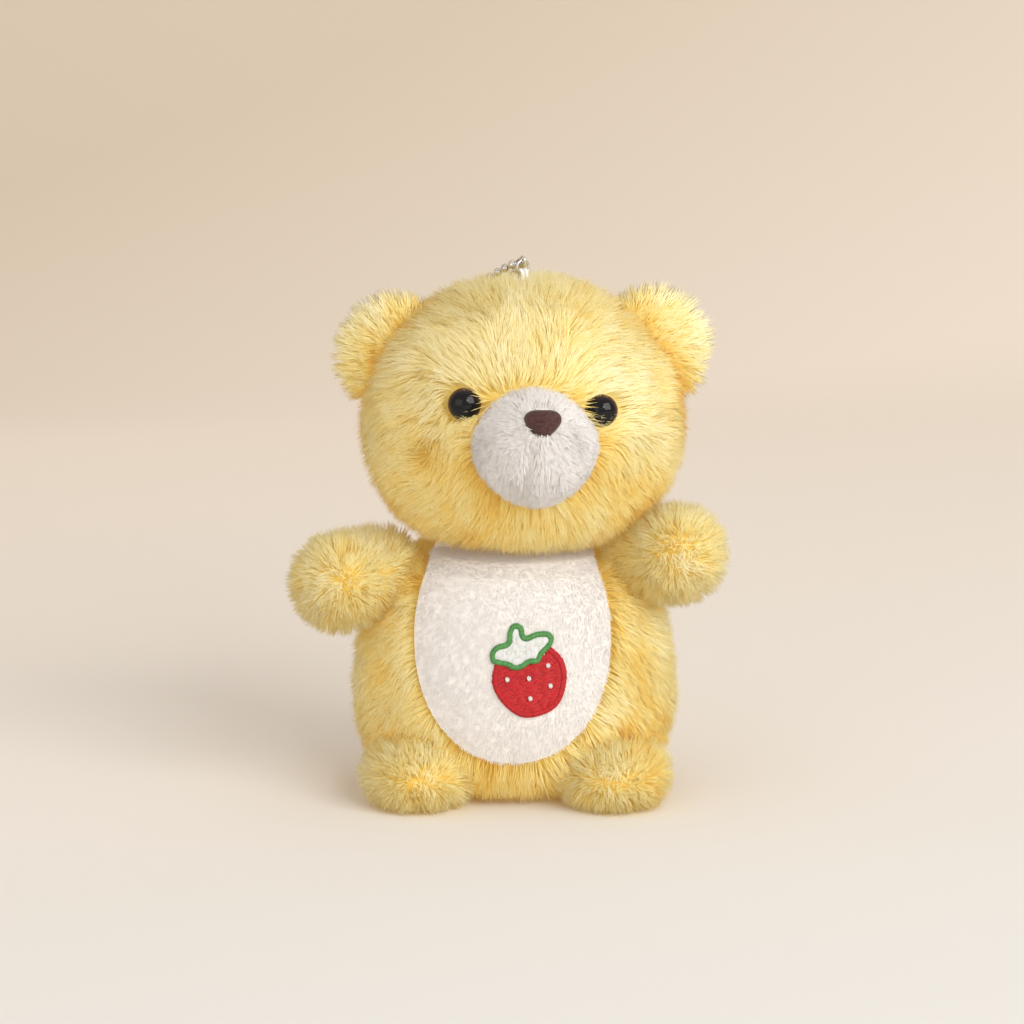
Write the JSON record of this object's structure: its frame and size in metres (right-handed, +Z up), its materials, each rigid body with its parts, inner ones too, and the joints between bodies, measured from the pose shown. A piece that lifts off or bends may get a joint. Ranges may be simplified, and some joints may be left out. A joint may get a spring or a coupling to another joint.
{
  "type": "plush keychain",
  "caption": "Small stuffed plush bear with a white muzzle and an embroidered berry on its tummy patch, a cord loop in the crown, a ring and a closed bead chain.",
  "frame": {"origin": "middle of the bounding box on the plane that the feet and the seat panel stand on", "axes": "+Z up, the bear faces -Y, +X to the right as it is seen from the front"},
  "size_m": [0.1034, 0.0796, 0.1304],
  "materials": {
    "plush": "long pile plush",
    "white_plush": "short brushed pile",
    "fibre": "polyester fibre",
    "eye_plastic": "polished",
    "nose_flock": "flocked",
    "washer_plastic": "moulded",
    "red_thread": "embroidery thread",
    "green_thread": "embroidery thread",
    "white_thread": "embroidery thread",
    "cord": "twisted cord",
    "nickel": "plated"
  },
  "bodies": {
    "head": {"head_front_left": "plush", "head_back_left": "plush", "head_front_right": "plush", "head_back_right": "plush", "muzzle_left": "white_plush", "muzzle_right": "white_plush", "head_stuffing": "fibre", "eye_left": "eye_plastic", "eye_washer_left": "washer_plastic", "eye_right": "eye_plastic", "eye_washer_right": "washer_plastic", "nose": "nose_flock", "nose_washer": "washer_plastic"},
    "left_ear": {"ear_left_front": "plush", "ear_left_back": "plush"},
    "right_ear": {"ear_right_front": "plush", "ear_right_back": "plush"},
    "torso": {"body_front_left": "plush", "body_back_left": "plush", "body_front_right": "plush", "body_back_right": "plush", "body_base": "plush", "tummy_patch": "white_plush", "body_stuffing": "fibre", "foot_left_upper": "plush", "foot_left_sole": "plush", "foot_left_stuffing": "fibre", "foot_right_upper": "plush", "foot_right_sole": "plush", "foot_right_stuffing": "fibre", "berry": "red_thread", "berry_leaf_border": "green_thread", "berry_leaf_fill": "white_thread", "berry_seed_1": "white_thread", "berry_seed_2": "white_thread", "berry_seed_3": "white_thread", "berry_seed_4": "white_thread", "berry_seed_5": "white_thread"},
    "left_arm": {"arm_left_front": "plush", "arm_left_back": "plush", "arm_left_stuffing": "fibre"},
    "right_arm": {"arm_right_front": "plush", "arm_right_back": "plush", "arm_right_stuffing": "fibre"},
    "loop": {"hang_loop": "cord"},
    "link_ring": {"ring": "nickel"},
    "chain_start": {"chain_top": "nickel"},
    "chain_upper": {"chain_upper_left": "nickel", "chain_upper_right": "nickel"},
    "chain_middle": {"chain_middle_left": "nickel", "chain_middle_right": "nickel"},
    "chain_lower": {"chain_lower_left": "nickel", "chain_lower_right": "nickel"},
    "clasp": {"chain_clasp": "nickel"}
  },
  "joints": [
    {"name": "head_turn", "type": "hinge", "parent": "torso", "child": "head", "pos_m": [0.00352, 0.00483, 0.0616], "axis": [0, 0, 1], "range_deg": [-15, 15], "stiffness_Nm_per_rad": 0.03},
    {"name": "arm_left_swing", "type": "hinge", "parent": "torso", "child": "left_arm", "pos_m": [-0.02988, -0.00017, 0.0542], "axis": [0, 1, 0], "range_deg": [-10, 16], "stiffness_Nm_per_rad": 0.02},
    {"name": "arm_right_swing", "type": "hinge", "parent": "torso", "child": "right_arm", "pos_m": [0.03182, -0.00017, 0.0568], "axis": [0, -1, 0], "range_deg": [-10, 16], "stiffness_Nm_per_rad": 0.02},
    {"name": "ear_left_fold", "type": "hinge", "parent": "head", "child": "left_ear", "pos_m": [-0.02777, 0.00783, 0.1064], "axis": [0.454, 0, 0.891], "range_deg": [-15, 15], "stiffness_Nm_per_rad": 0.01},
    {"name": "ear_right_fold", "type": "hinge", "parent": "head", "child": "right_ear", "pos_m": [0.0354, 0.00783, 0.1084], "axis": [0.454, 0, -0.891], "range_deg": [-15, 15], "stiffness_Nm_per_rad": 0.01},
    {"name": "loop_flop", "type": "hinge", "parent": "head", "child": "loop", "pos_m": [0.00352, 0.00483, 0.1228], "axis": [0.8829, 0.4695, 0], "range_deg": [0, 25]},
    {"name": "ring_tilt", "type": "hinge", "parent": "loop", "child": "link_ring", "pos_m": [0.00352, 0.00483, 0.126], "axis": [0.8829, 0.4695, 0], "range_deg": [0, 30]},
    {"name": "chain_swing", "type": "hinge", "parent": "link_ring", "child": "chain_start", "pos_m": [0.00352, 0.00483, 0.1292], "axis": [0.8829, 0.4695, 0], "range_deg": [0, 90]},
    {"name": "chain_upper_bend", "type": "hinge", "parent": "chain_start", "child": "chain_upper", "pos_m": [-0.00146, 0.01419, 0.1242], "axis": [0.8829, 0.4695, 0], "range_deg": [0, 35]},
    {"name": "chain_middle_bend", "type": "hinge", "parent": "chain_upper", "child": "chain_middle", "pos_m": [-0.00748, 0.02551, 0.11711], "axis": [0.8829, 0.4695, 0], "range_deg": [0, 35]},
    {"name": "chain_lower_bend", "type": "hinge", "parent": "chain_middle", "child": "chain_lower", "pos_m": [-0.01158, 0.03323, 0.10537], "axis": [0.8829, 0.4695, 0], "range_deg": [0, 35]},
    {"name": "clasp_release", "type": "hinge", "parent": "chain_lower", "child": "clasp", "pos_m": [-0.01571, 0.03481, 0.09111], "axis": [-0.4695, 0.8829, 0], "range_deg": [0, 40]}
  ]
}
